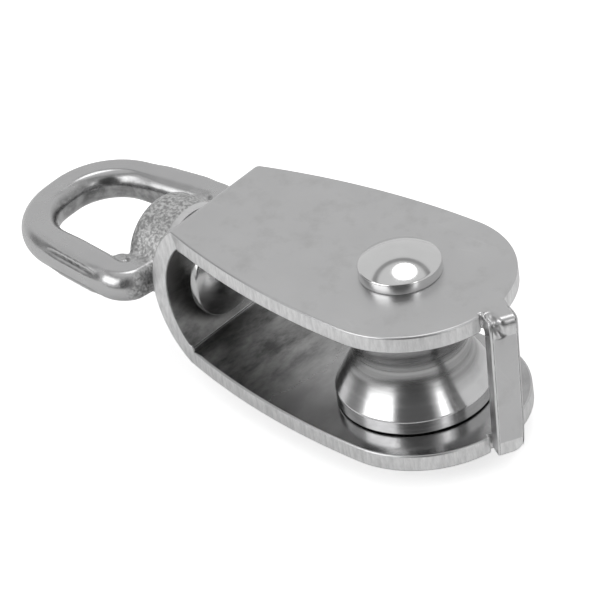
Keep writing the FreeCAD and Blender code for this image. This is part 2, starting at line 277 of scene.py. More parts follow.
def side_points(sign, steps=24):
    """Long side of a cheek, from the bend to the round tail."""
    points = []
    for step in range(steps):
        x = BEND_X + (TAIL_CENTRE - BEND_X) * step / steps
        y = TAIL_RADIUS - SIDE_RADIUS + math.sqrt(SIDE_RADIUS ** 2 - (x - TAIL_CENTRE) ** 2)
        points.append((x, sign * y))
    return points


def tail_points(start, end, steps):
    """Part of the round tail, both ends included, angles in degrees."""
    angles = [math.radians(start + (end - start) * step / steps) for step in range(steps + 1)]
    return [(TAIL_CENTRE + TAIL_RADIUS * math.cos(a), TAIL_RADIUS * math.sin(a)) for a in angles]


def tail_angle(across):
    """Angle on the round tail, in degrees, of a line that lies so far across the strap."""
    return math.degrees(math.asin(across / TAIL_RADIUS)) + math.degrees(STRAP_TURN)


def upper_outline():
    """Outline of the upper cheek, with the strap's root and the relief slot beside it."""
    near = STRAP_SIDE + STRAP_LEAN
    far = near + STRAP_WIDTH
    slot = near - STRAP_RELIEF
    slot_floor = STRAP_ROOT - 0.1 * MM
    strap = [strap_point(slot_floor, slot, 0), strap_point(slot_floor, near, 0)]
    for column in range(STRAP_COLUMNS + 1):
        strap.append(strap_point(STRAP_ROOT, near + (far - near) * column / STRAP_COLUMNS, 0))
    strap = [(p.x, p.y) for p in strap]
    first = tail_points(-90, tail_angle(slot), 26)
    rest = tail_points(tail_angle(far), 90, 40)
    return side_points(-1) + first + strap + rest + side_points(1)[::-1]


def lower_outline():
    """Outline of the lower cheek, with the flat that lets the strap pass."""
    flat = STRAP_ROOT + STRAP_INNER - STRAP_CLEARANCE
    half = math.degrees(math.acos(flat / TAIL_RADIUS))
    low_angle = tail_angle(STRAP_SIDE - STRAP_CLEARANCE)
    start = strap_point(flat, STRAP_SIDE - STRAP_CLEARANCE, 0)
    first = tail_points(-90, low_angle, 26)
    rest = tail_points(half + math.degrees(STRAP_TURN), 90, 40)
    return side_points(-1) + first + [(start.x, start.y)] + rest + side_points(1)[::-1]


def cheek(name, outline, outside, step):
    """Flat cheek: its outline drawn, filled and given the sheet's thickness."""
    piece = drawn_line(name, [Vector((x, y, outside)) for x, y in outline])
    bpy.ops.mesh.select_all(action="SELECT")
    bpy.ops.mesh.edge_face_add()
    extrude_selected(Vector((0, 0, step)))
    end_edit()
    return put_down(piece)


def is_bend_face(face):
    """Whether a face is a cheek's end, where the wall is to leave it."""
    middle = face.calc_center_median()
    return abs(face.normal.x) > 0.9 and middle.x < BEND_X + 1.0 * MM


def strap_bend_points(piece):
    """Each point of the strap's bend, with its turn from level, its share of the sheet's thickness,
    its place across the strap and its ray from the bend's axis."""
    outward, across = strap_directions()
    axis = strap_point(STRAP_ROOT, STRAP_SIDE + STRAP_LEAN, CHEEK_INSIDE - STRAP_INNER)
    for vertex in piece.data.vertices:
        from_axis = vertex.co - axis
        along, height, side = from_axis.dot(outward), from_axis.z, from_axis.dot(across)
        on_strap = -0.3 * MM < side < STRAP_WIDTH + 0.5 * MM
        if along < SAME_PLACE or height < 0.0 or not on_strap:
            continue
        ray = outward * along + Vector((0, 0, height))
        share = max(0.0, min(1.0, (ray.length - STRAP_INNER) / SHEET))
        yield vertex, math.atan2(height, along), share, side, ray


def square_strap_bend(piece):
    """Strike the strap's bend square, most on its outside, and spread it a little."""
    _, across = strap_directions()
    for vertex, turn, share, side, ray in strap_bend_points(piece):
        power = 2.0 + 4.5 * share  # 2 is a round bend, more is squarer
        square = (math.cos(turn) ** power + math.sin(turn) ** power) ** (-1 / power)
        spread = STRAP_SPREAD * math.sin(2 * turn) * side / STRAP_WIDTH
        vertex.co += across * spread + ray * (square - 1)


def press_strap_groove(piece):
    """Press in the groove that the bending tool left, slanting across the strap's bend."""
    for vertex, turn, share, side, ray in strap_bend_points(piece):
        middle = STRAP_GROOVE_START + STRAP_GROOVE_TRAVEL * (1 - turn / (math.pi / 2))
        groove = math.exp(-((side - middle) / STRAP_GROOVE_WIDTH) ** 2) * share ** 2
        vertex.co -= ray.normalized() * STRAP_GROOVE_DEPTH * groove * math.sin(2 * turn) ** 0.8


def round_strap_foot(piece):
    """Cut the far corner of the strap's foot to a round."""
    _, across = strap_directions()
    radius = STRAP_FOOT_ROUND
    corner = strap_point(STRAP_ROOT, STRAP_SIDE + STRAP_WIDTH - radius, STRAP_END)
    for vertex in piece.data.vertices:
        side = (vertex.co - corner).dot(across)
        at_foot = abs(vertex.co.z - STRAP_END) < SAME_PLACE and vertex.co.x > TAIL_CENTRE + 10 * MM
        if at_foot and side > 0:
            vertex.co.z += radius - math.sqrt(max(0.0, radius ** 2 - min(side, radius) ** 2))


def spin_wall(piece, centre_x, outer, inner):
    """Spin the bowed end wall from the upper cheek's end, and leave its last run open."""
    start_edit(piece)
    pick(piece, "faces", is_bend_face)
    start_angle = math.atan2(CHEEK_TOP, BEND_X - centre_x) + WALL_FIRST_RUN
    extrude_selected(Vector((0, 0, 0)))
    for vertex in bmesh.from_edit_mesh(piece.data).verts:
        if vertex.select:
            radius = outer if vertex.co.z > (CHEEK_TOP + CHEEK_INSIDE) / 2 else inner
            vertex.co.x = centre_x + radius * math.cos(start_angle)
            vertex.co.z = radius * math.sin(start_angle)
    bmesh.update_edit_mesh(piece.data)
    spin_selected(2 * start_angle - 2 * math.pi, (centre_x, 0, 0), (0, 1, 0), WALL_STEPS)
    bpy.ops.mesh.delete(type="ONLY_FACE")
    end_edit()


def join_cheeks(upper, lower):
    """Join the lower cheek on and close the last run of wall; stays in edit mode."""
    clear_selection()
    lower.select_set(True)
    upper.select_set(True)
    bpy.context.view_layer.objects.active = upper
    bpy.ops.object.join()
    start_edit(upper, "EDGE")
    bpy.ops.mesh.select_all(action="SELECT")
    bpy.ops.mesh.remove_doubles(threshold=0.002 * MM)
    bpy.ops.mesh.select_all(action="DESELECT")
    bpy.ops.mesh.select_non_manifold()
    bpy.ops.mesh.bridge_edge_loops()
    bpy.ops.mesh.select_all(action="SELECT")
    bpy.ops.mesh.normals_make_consistent(inside=False)


def turn_strap_down(piece):
    """Spin the strap from its root in the cheek's edge and draw it past the lower cheek."""
    outward, across = strap_directions()
    root = strap_point(STRAP_ROOT, STRAP_SIDE + STRAP_LEAN + STRAP_WIDTH / 2,
                       (CHEEK_TOP + CHEEK_INSIDE) / 2)

    def is_root_face(face):
        offset = face.calc_center_median() - root
        return (face.normal.dot(outward) > 0.99 and abs(offset.dot(outward)) < 0.05 * MM
                and abs(offset.dot(across)) < STRAP_WIDTH / 2)

    pick(piece, "faces", is_root_face)
    bend_height = CHEEK_INSIDE - STRAP_INNER
    spin_selected(math.radians(90), strap_point(STRAP_ROOT, 0, bend_height), across, 16)
    runs = 4
    for _ in range(runs):
        drop = Vector((0, 0, (STRAP_END - bend_height) / runs))
        extrude_selected(drop - across * STRAP_LEAN / runs)


def soften_bend(piece, x, height, width):
    """Round the long edges where the cheeks meet the wall."""

    def is_bend_edge(edge):
        on_bend = all(abs(v.co.x - x) < SAME_PLACE and abs(abs(v.co.z) - height) < SAME_PLACE
                      for v in edge.verts)
        return on_bend and edge.calc_length() > 5 * MM

    pick(piece, "edges", is_bend_edge)
    bpy.ops.mesh.bevel(offset=width, segments=5, affect="EDGES")


def make_frame(material):
    """Bent sheet frame, worked from its two cheeks: wall spun between them, strap turned down."""
    upper = cheek("frame_sheet", upper_outline(), CHEEK_TOP, -SHEET)
    lower = cheek("lower_cheek", lower_outline(), -CHEEK_TOP, SHEET)
    centre_x = WALL_X + (CHEEK_TOP ** 2 + WALL_BOW ** 2) / (2 * WALL_BOW)
    outer = centre_x - WALL_X
    inner = outer - SHEET
    inner_x = centre_x - math.sqrt(inner ** 2 - CHEEK_INSIDE ** 2)

    # lean the inner edge of each cheek's end, where the wall leaves it
    for piece, height in ((upper, CHEEK_INSIDE), (lower, -CHEEK_INSIDE)):
        start_edit(piece)
        pick(piece, "verts",
             lambda v: v.co.x < BEND_X + 0.5 * MM and abs(v.co.z - height) < SAME_PLACE)
        bpy.ops.transform.translate(value=(inner_x - BEND_X, 0, 0))
        end_edit()

    spin_wall(upper, centre_x, outer, inner)
    start_edit(lower)
    pick(lower, "faces", is_bend_face)
    bpy.ops.mesh.delete(type="ONLY_FACE")
    end_edit()
    join_cheeks(upper, lower)
    turn_strap_down(upper)
    soften_bend(upper, BEND_X, CHEEK_TOP, OUTER_BEND_ROUND)
    soften_bend(upper, inner_x, CHEEK_INSIDE, INNER_BEND_ROUND)
    end_edit()
    round_strap_foot(upper)
    square_strap_bend(upper)
    break_edges(upper, SHEET_EDGE_ROUND, segments=4, angle=32.0, clamp=False)
    press_strap_groove(upper)
    cut_with(upper, rod("pin_hole", PIN_RADIUS + HOLE_CLEARANCE, 14 * MM, (WALL_X, 0, 0), "x"))
    cut_with(upper, rod("axle_hole", AXLE_RADIUS + HOLE_CLEARANCE, 4 * CHEEK_TOP, (0, 0, 0), "z"))
    smooth_all(upper)
    finish_piece(upper, "frame", "frame", material)


# ---- turned pieces ----
def dome_points(radius, base, height, steps=22):
    """Domed head from its rim to its crown, as (radius, height) points."""
    ball = (radius ** 2 + height ** 2) / (2 * height)
    rim_angle = math.asin(radius / ball)
    points = []
    for step in range(steps + 1):
        angle = rim_angle * (1 - step / steps)
        points.append((ball * math.sin(angle), base + height - ball * (1 - math.cos(angle))))
    return points


RIVET_BAND = 1.8 * MM
SHEAVE_RIM_WIDTH = 2.3 * MM
SHEAVE_GROOVE_DEPTH = 3.3 * MM
SHEAVE_GROOVE_RADIUS = 6.0 * MM
PIN_HEAD = 4.0 * MM
PIN_BAND = 1.3 * MM
PEENED_END = 1.3 * MM


def make_axle_rivet(material):
    """Axle with a domed head outside each cheek."""
    head = rivet_high.x
    dome_base = CHEEK_TOP + RIVET_BAND
    dome = dome_points(head, dome_base, rivet_high.z - dome_base)
    half = [(AXLE_RADIUS, 0), (AXLE_RADIUS, CHEEK_TOP), (head, CHEEK_TOP)] + dome
    profile = [(radius, -height) for radius, height in half[::-1]] + half[1:]
    piece = turned_on_lathe("axle_rivet_heads", profile, 0.22 * MM)
    smooth_all(piece)
    finish_piece(piece, "frame", "axle_rivet", material)


def make_sheave(material):
    """Sheave with two plain rims, straight flanks and a round-bottomed groove."""
    rim = sheave_high.x
    half = sheave_high.z
    lip = half - SHEAVE_RIM_WIDTH
    bottom = rim - SHEAVE_GROOVE_DEPTH
    groove = SHEAVE_GROOVE_RADIUS
    centre = bottom + groove
    # the groove turns until its tangent meets the rim
    distance = math.hypot(centre - rim, lip)
    turn = math.pi - math.atan2(lip, rim - centre) - math.acos(groove / distance)
    waist = [(centre - groove * math.cos(turn * step / 12), groove * math.sin(turn * step / 12))
             for step in range(13)]
    upper = waist + [(rim, lip), (rim, half), (bush_high.x, half)]
    profile = [(radius, -height) for radius, height in upper[::-1]] + upper[1:]
    piece = turned_on_lathe("sheave_turned", profile, 0.2 * MM, steps=192)
    smooth_all(piece)
    finish_piece(piece, "sheave", "sheave", material)


def make_swivel_pin(material):
    """Swivel pin: domed head inside the wall, shank and an end peened over in the hub."""
    # drawn along Z with its head up, then laid along X
    head = pin_high.z
    head_base = pin_high.x - pin_low.x - PIN_HEAD
    dome = dome_points(head, head_base + PIN_BAND, PIN_HEAD - PIN_BAND)
    spread = PIN_RADIUS + PEENED_END
    profile = [(0, 0.0), (spread - 0.5 * MM, 0.0), (spread, 0.04 * MM), (PIN_RADIUS, PEENED_END),
               (PIN_RADIUS, head_base), (head, head_base)] + dome
    piece = turned_on_lathe("swivel_pin_turned", profile, 0.25 * MM)
    piece.matrix_world = laid_along_x(pin_low.x)
    put_down(piece)
    smooth_all(piece)
    finish_piece(piece, "swivel", "swivel_pin", material)


# ---- swivel eye ----
EYE_BAR = 3.1 * MM
EYE_HALF_THICK = 2.8 * MM
EYE_BASE_X = HUB_FACE_X - EYE_BAR
EYE_NOSE_X = HUB_FACE_X - 32.5 * MM + EYE_BAR
EYE_WAIST = 0.8 * MM
BASE_BEND = 3.4 * MM
NOSE_BEND = 9.7 * MM
# corners of half the centre line before rounding, as (x, y, radius)
EYE_CORNERS = ((EYE_BASE_X, 13.0 * MM, BASE_BEND), (EYE_NOSE_X, 9.8 * MM, NOSE_BEND))
# upper half of the leg's pressed section in millimetres, as (distance outward, height)
LEG_SECTION = ((3.1, 0.0), (3.1, 0.85), (2.9, 1.25), (2.15, 1.5), (2.1, 1.75), (2.55, 2.0),
               (2.5, 2.35), (2.0, 2.7), (1.2, 2.8), (-1.0, 2.8), (-2.1, 2.5), (-2.8, 1.8),
               (-3.1, 0.9), (-3.1, 0.0))


def eye_stations():
    """Bends of half the eye's centre line: start, centre, turn and end of each."""
    (base_x, base_y, base_round), (nose_x, nose_y, nose_round) = EYE_CORNERS
    leg = Vector((nose_x - base_x, nose_y - base_y, 0)).normalized()
    crosswise = Vector((0, -1, 0))
    found = []
    for corner, radius, back, ahead in (
            (Vector((base_x, base_y, 0)), base_round, crosswise, leg),
            (Vector((nose_x, nose_y, 0)), nose_round, -leg, crosswise)):
        half = back.angle(ahead) / 2
        inset = radius / math.tan(half)
        centre = corner + (back + ahead).normalized() * radius / math.sin(half)
        turn = math.pi - 2 * half
        found.append((corner + back * inset, centre, turn, corner + ahead * inset))
    return found


def leg_directions():
    """Where the leg starts, its vector to the nose bend and its unit vector outward."""
    (_, _, _, base_out), (nose_in, _, _, _) = eye_stations()
    run = nose_in - base_out
    leg = run.normalized()
    outward = Vector((-leg.y, leg.x, 0))
    if outward.y < 0:
        outward = -outward
    return base_out, run, outward


def eye_frame_at(place):
    """Where a point lies on the eye's bar: its distance outward from the centre line, the direction
    outward, its share of the way along the leg, and the point laid flat on the side y > 0."""
    (base_in, base_centre, _, _), (_, nose_centre, _, nose_out) = eye_stations()
    base_out, run, outward = leg_directions()
    flat = Vector((place.x, abs(place.y), 0))
    along = (flat - base_out).dot(run.normalized()) / run.length
    if along < 0:
        if flat.y < base_in.y:
            return base_in.x - flat.x, Vector((1, 0, 0)), 0.0, flat
        ray = flat - base_centre
        return ray.length - BASE_BEND, ray.normalized(), 0.0, flat
    if along > 1:
        if flat.y < nose_out.y:
            return nose_out.x - flat.x, Vector((-1, 0, 0)), 0.0, flat
        ray = flat - nose_centre
        return ray.length - NOSE_BEND, ray.normalized(), 0.0, flat
    return (flat - base_out).dot(outward), outward, along, flat


def make_eye_ring():
    """D-shaped ring of round bar, its bends spun and its legs drawn."""
    base, nose = eye_stations()
    base_in, base_centre, base_turn, base_out = base
    nose_in, nose_centre, nose_turn, nose_out = nose
    start = Vector((EYE_BASE_X, 0, 0))
    clear_selection()
    bpy.ops.mesh.primitive_circle_add(vertices=64, radius=EYE_BAR, location=start,
                                      rotation=(math.radians(90), 0, 0), fill_type="NOTHING")
    ring = bpy.context.object
    ring.name = "swivel_eye_cast"
    put_down(ring)
    start_edit(ring)
    bpy.ops.mesh.select_all(action="SELECT")
    # each run: where it ends, its steps, and a bend's centre and turn
    flip = Vector((1, -1, 1))
    runs = ((base_in, 6, None, 0), (base_out, 10, base_centre, base_turn),
            (nose_in, 16, None, 0), (nose_out, 20, nose_centre, nose_turn),
            (nose_out * flip, 2, None, 0), (nose_in * flip, 20, nose_centre * flip, nose_turn),
            (base_out * flip, 16, None, 0), (base_in * flip, 10, base_centre * flip, base_turn),
            (start, 6, None, 0))
    here = start
    for end, steps, centre, turn in runs:
        if centre is None:
            for _ in range(steps):
                extrude_selected((end - here) / steps)
        else:
            spin_selected(turn, centre, (0, 0, 1), steps)
        here = end
    bpy.ops.mesh.select_all(action="SELECT")
    bpy.ops.mesh.remove_doubles(threshold=0.02 * MM)
    bpy.ops.mesh.normals_make_consistent(inside=False)
    end_edit()
    return ring


def section_radius(angle, crease):
    """Distance from the bar's centre to its skin at an angle from outward, in radians; crease runs
    from 0 on a plain flattened bar to 1 on the leg's pressed section."""
    across, rise = math.cos(angle), abs(math.sin(angle))
    plain = min(EYE_BAR, EYE_HALF_THICK / max(rise, 0.01)) / MM
    pressed = plain
    for (r0, z0), (r1, z1) in zip(LEG_SECTION, LEG_SECTION[1:]):
        cross = across * (z1 - z0) - rise * (r1 - r0)
        if abs(cross) < 1e-9:
            continue
        reach = (r0 * (z1 - z0) - z0 * (r1 - r0)) / cross
        share = (r0 * rise - z0 * across) / cross
        if reach > 0 and -0.001 <= share <= 1.001:
            pressed = reach
    return (plain + (pressed - plain) * crease) * MM


def press_eye_section(ring):
    """Flatten the ring's faces and press a crease along the outer side of its legs."""
    for vertex in ring.data.vertices:
        off_centre, outward, along, flat = eye_frame_at(vertex.co)
        angle = math.atan2(vertex.co.z, off_centre)
        crease = max(0.0, min(1.0, 4 * along, 3.2 * (1 - along)))
        crease = crease * crease * (3 - 2 * crease)
        radius = section_radius(angle, crease)
        place = flat + outward * (radius * math.cos(angle) - off_centre)
        side = -1 if vertex.co.y < 0 else 1
        waist = math.exp(-((place.y - 10.2 * MM) / (1.5 * MM)) ** 2)
        if place.x > EYE_BASE_X:
            place.x -= EYE_WAIST * waist * (place.x - EYE_BASE_X) / EYE_BAR
        vertex.co = Vector((place.x, side * place.y, radius * math.sin(angle)))


def make_hub():
    """Round hub, its far end well rounded."""
    middle = ((HUB_FACE_X + HUB_END_X) / 2, 0, 0)
    hub = rod("hub", HUB_RADIUS, HUB_FACE_X - HUB_END_X, middle, "x", 128)
    start_edit(hub, "EDGE")
    pick(hub, "edges", lambda e: all(v.co.x < HUB_END_X + SAME_PLACE for v in e.verts))
    bpy.ops.mesh.bevel(offset=2.6 * MM, segments=8, affect="EDGES")
    end_edit()
    return hub


def make_web(x, y):
    """Swelling where the base bar meets a leg."""
    clear_selection()
    bpy.ops.mesh.primitive_uv_sphere_add(segments=32, ring_count=16, radius=1.0, location=(x, y, 0))
    web = bpy.context.object
    web.scale = (2.6 * MM, 2.4 * MM, 2.2 * MM)
    return put_down(web)


def make_chamfer_tool(chamfer):
    """Ring that turns a chamfer on the hub's face."""
    inside, outside = HUB_RADIUS - chamfer, HUB_RADIUS + chamfer
    profile = [(inside, chamfer), (inside, 0.0), (outside, -2 * chamfer), (outside, chamfer)]
    tool = turned_on_lathe("chamfer_tool", profile, 0.001 * MM)
    tool.matrix_world = laid_along_x(HUB_FACE_X)
    return put_down(tool)


def make_swivel_eye(material):
    """Cast eye: ring, base bar and hub cast in one, with a soft fillet wherever they meet."""
    ring = make_eye_ring()
    press_eye_section(ring)
    inner_x = HUB_FACE_X - 7.8 * MM
    bar = rod("base_bar", EYE_HALF_THICK, 19.0 * MM, (inner_x + EYE_HALF_THICK, 0, 0), "y")
    fill = block("base_fill", (inner_x + EYE_BAR, -9.5 * MM, -EYE_HALF_THICK),
                 (inner_x + 4.6 * MM, 9.5 * MM, EYE_HALF_THICK))
    webs = [make_web(inner_x + 0.3 * MM, side * 9.3 * MM) for side in (-1, 1)]
    for part in (bar, fill, *webs, make_hub()):
        cut_with(ring, part, "UNION")
    use_modifier(ring, "REMESH", mode="VOXEL", voxel_size=0.22 * MM, adaptivity=0.0)
    use_modifier(ring, "SMOOTH", factor=0.5, iterations=7)
    # the hub's face is machined flat, chamfered and bored after casting
    wide = 12 * MM
    cut_with(ring, block("face_cut", (HUB_FACE_X, -wide, -wide), (HUB_FACE_X + 4 * MM, wide, wide)))
    cut_with(ring, make_chamfer_tool(0.7 * MM))
    cut_with(ring, rod("bore", PIN_RADIUS, 20 * MM, (HUB_FACE_X, 0, 0), "x"))
    smooth_all(ring, weighted=False)
    take_up(ring)
    bpy.ops.object.shade_smooth_by_angle(angle=math.radians(38))
    finish_piece(ring, "swivel", "swivel_eye", material)


# ---- finishes ----
def new_group(name, inputs, outputs):
    """Empty node group with named sockets."""
    group = bpy.data.node_groups.new(name, "ShaderNodeTree")
    for label, kind, value in inputs:
        socket = group.interface.new_socket(name=label, in_out="INPUT", socket_type=kind)
        socket.default_value = value
    for label, kind in outputs:
        group.interface.new_socket(name=label, in_out="OUTPUT", socket_type=kind)
    return group, group.nodes.new("NodeGroupInput"), group.nodes.new("NodeGroupOutput")


def feed(tree, socket, value):
    """Link an output into a socket, or set the socket to a constant."""
    if isinstance(value, bpy.types.NodeSocket):
        tree.links.new(value, socket)
    else:
        socket.default_value = value


def add(tree, kind, links=(), **settings):
    """Add a node, set it, and link or set its sockets."""
    node = tree.nodes.new(kind)
    for name, value in settings.items():
        setattr(node, name, value)
    for socket, value in dict(links).items():
        feed(tree, node.inputs[socket], value)
    return node


def math_node(tree, operation, first, second=0.0, clamp=False):
    """Result of a sum, product or other operation on two values."""
    return add(tree, "ShaderNodeMath", {0: first, 1: second}, operation=operation,
               use_clamp=clamp).outputs[0]


def times(tree, first, second, clamp=False):
    """Product of two values."""
    return math_node(tree, "MULTIPLY", first, second, clamp)


def plus(tree, first, second, clamp=False):
    """Sum of two values."""
    return math_node(tree, "ADD", first, second, clamp)


def size_of(tree, value):
    """A value without its sign."""
    return math_node(tree, "ABSOLUTE", value)


def vector_node(tree, operation, first, second=(0, 0, 0), output="Value"):
    """Result of an operation on two vectors."""
    return add(tree, "ShaderNodeVectorMath", {0: first, 1: second},
               operation=operation).outputs[output]


def remap(tree, value, low, high, to_low=0.0, to_high=1.0):
    """A value's range moved to another range and held within it."""
    return add(tree, "ShaderNodeMapRange", {"Value": value, "From Min": low, "From Max": high,
                                            "To Min": to_low, "To Max": to_high}).outputs[0]


def parts_of(tree, vector):
    """The x, y and z of a vector."""
    return add(tree, "ShaderNodeSeparateXYZ", {0: vector}).outputs


def vector_from(tree, x, y=0.0):
    """A level vector from its x and y."""
    return add(tree, "ShaderNodeCombineXYZ", {0: x, 1: y}).outputs[0]


def noise(tree, place, scale, detail=3.0, roughness=0.5):
    """Smooth random value that changes over the surface."""
    return add(tree, "ShaderNodeTexNoise", {"Vector": place, "Scale": scale, "Detail": detail,
                                            "Roughness": roughness}).outputs[0]


FLOAT = "NodeSocketFloat"
VECTOR = "NodeSocketVector"


def worn_edge_group():
    """Where an edge is rubbed bright: 1 on a sharp edge, 0 on a face."""
    group, given, result = new_group(
        "worn_edge", [("Width", FLOAT, 0.3 * MM), ("Place", VECTOR, (0, 0, 0))], [("Edge", FLOAT)])
    rounded = add(group, "ShaderNodeBevel", {"Radius": given.outputs["Width"]}, samples=6)
    shape = add(group, "ShaderNodeNewGeometry").outputs["Normal"]
    edge = remap(group, vector_node(group, "DOT_PRODUCT", rounded.outputs[0], shape), 0.995, 0.9)
    broken = remap(group, noise(group, given.outputs["Place"], 900.0), 0.3, 0.6, 0.5, 1.0)
    group.links.new(times(group, edge, broken, True), result.inputs["Edge"])
    return group


def tumbled_group():
    """Tumbled steel: a fine dull grain, faint cloudy patches and a few short scratches."""
    group, given, result = new_group(
        "tumbled_steel",
        [("Place", VECTOR, (0, 0, 0)), ("Grain", FLOAT, 2600.0), ("Patch", FLOAT, 110.0)],
        [("Cloud", FLOAT), ("Height", FLOAT), ("Scratch", FLOAT)])
    place = given.outputs["Place"]
    fine = noise(group, place, given.outputs["Grain"], 2.0, 0.6)
    cloud = noise(group, place, given.outputs["Patch"], 5.0, 0.6)
    scratch = None
    for turn, scale in ((25.0, 260.0), (-50.0, 310.0), (82.0, 200.0)):
        mapped = add(group, "ShaderNodeMapping", {
            "Vector": place, "Rotation": (0.3, 0.2, math.radians(turn)),
            "Scale": (0.05, 1.0, 1.0)}).outputs[0]
        cells = add(group, "ShaderNodeTexVoronoi", {"Vector": mapped, "Scale": scale},
                    feature="DISTANCE_TO_EDGE").outputs["Distance"]
        thin = remap(group, cells, 0.0, 0.012, 1.0, 0.0)
        present = remap(group, noise(group, place, 60.0 + turn / 10, 2.0), 0.56, 0.62)
        mark = times(group, thin, present, True)
        scratch = mark if scratch is None else math_node(group, "MAXIMUM", scratch, mark)
    height = math_node(group, "SUBTRACT", fine, times(group, scratch, 0.25))
    group.links.new(cloud, result.inputs["Cloud"])
    group.links.new(scratch, result.inputs["Scratch"])
    group.links.new(height, result.inputs["Height"])
    return group


def distance_from_axis(tree, place):
    """Distance of a point from the Z axis."""
    parts = parts_of(tree, place)
    return vector_node(tree, "LENGTH", vector_from(tree, parts[0], parts[1]))


def turning_group():
    """Fine rings left by a lathe tool round the Z axis, as a height, and broader ones as a tone."""
    group, given, result = new_group(
        "turning_marks", [("Place", VECTOR, (0, 0, 0)), ("Rings", FLOAT, 9000.0)],
        [("Height", FLOAT), ("Ring", FLOAT)])
    place = given.outputs["Place"]
    climb = times(group, parts_of(group, place)[2], 1.3)
    line = vector_from(group, plus(group, distance_from_axis(group, place), climb))
    group.links.new(noise(group, line, given.outputs["Rings"], 2.0, 0.7), result.inputs["Height"])
    group.links.new(noise(group, line, 1200.0, 2.0, 0.5), result.inputs["Ring"])
    return group


def new_material(name, metal=1.0):
    """Material with one Principled shader and the Object coordinates ready."""
    material = bpy.data.materials.new(name)
    material.use_nodes = True
    tree = material.node_tree
    tree.nodes.clear()
    output = tree.nodes.new("ShaderNodeOutputMaterial")
    shader = tree.nodes.new("ShaderNodeBsdfPrincipled")
    shader.inputs["Metallic"].default_value = metal
    tree.links.new(shader.outputs[0], output.inputs["Surface"])
    place = tree.nodes.new("ShaderNodeTexCoord").outputs["Object"]
    return material, tree, shader, place


def grey(level, tone=0.0):
    """Grey, a little bluer where a tone is given."""
    return (level, level, level + tone)


def colour_mix(tree, factor, first, second):
    """Colour that runs from the first to the second with a factor."""
    node = add(tree, "ShaderNodeMix", {0: factor}, data_type="RGBA")
    for socket, colour in ((6, first), (7, second)):
        feed(tree, node.inputs[socket], (*colour, 1) if isinstance(colour, tuple) else colour)
    return node.outputs[2]


def group_node(tree, group, links):
    """Place a node group and link or set its sockets."""
    node = tree.nodes.new("ShaderNodeGroup")
    node.node_tree = group
    for socket, value in links.items():
        feed(tree, node.inputs[socket], value)
    return node.outputs


def finish_with(tree, shader, colour, rough):
    """Give a shader its colour and roughness."""
    tree.links.new(colour, shader.inputs["Base Color"])
    tree.links.new(rough, shader.inputs["Roughness"])


def bump_into(tree, shader, height, strength, distance):
    """Give a shader its surface relief."""
    bump = add(tree, "ShaderNodeBump", {"Height": height, "Strength": strength,
                                        "Distance": distance})
    tree.links.new(bump.outputs[0], shader.inputs["Normal"])


def facing_in(tree, place, middle, low, high):
    """1 on the faces that look towards a middle point, 0 on the others."""
    normal = tree.nodes.new("ShaderNodeTexCoord").outputs["Normal"]
    inward = vector_node(tree, "SUBTRACT", middle, place, "Vector")
    return remap(tree, vector_node(tree, "DOT_PRODUCT", inward, normal), low, high)


def upright_faces(tree, height):
    """Two masks: 1 on all upright faces, and 1 on just the sheet's cut edges."""
    normal = parts_of(tree, tree.nodes.new("ShaderNodeTexCoord").outputs["Normal"])
    upright = remap(tree, size_of(tree, normal[2]), 0.5, 0.2)
    sideways = remap(tree, size_of(tree, normal[1]), 0.6, 0.8)
    cheek_edge = remap(tree, size_of(tree, height), CHEEK_INSIDE - 0.3 * MM, CHEEK_INSIDE)
    cut = times(tree, upright, math_node(tree, "MAXIMUM", sideways, cheek_edge))
    return upright, cut


def drawn_out(tree, place, scale):
    """Coordinates that draw a pattern out along the axes scaled below 1."""
    return add(tree, "ShaderNodeMapping", {"Vector": place, "Scale": scale}).outputs[0]


def sheared_edge(tree, place, cut):
    """Short upright marks that the shear left on the sheet's cut edges."""
    return times(tree, noise(tree, drawn_out(tree, place, (1.0, 1.0, 0.25)), 1400.0, 4.0, 0.7), cut)


def inner_painted_shade(tree, x, z, place):
    """Colour of the painted shade inside the frame: smeared along the sheet, lighter high on the
    wall.
    """
    smear = noise(tree, drawn_out(tree, place, (1.0, 0.45, 1.0)), 230.0, 6.0, 0.68)
    smear = remap(tree, smear, 0.36, 0.62)
    high_wall = times(tree, remap(tree, x, -37 * MM, -42 * MM), remap(tree, z, -7 * MM, 3 * MM))
    smear = plus(tree, times(tree, smear, 0.8), high_wall, True)
    # the dark grey is painted shade for the frame's hollow, broken up by the smear noise
    return colour_mix(tree, smear, grey(0.12), (0.46, 0.458, 0.455))


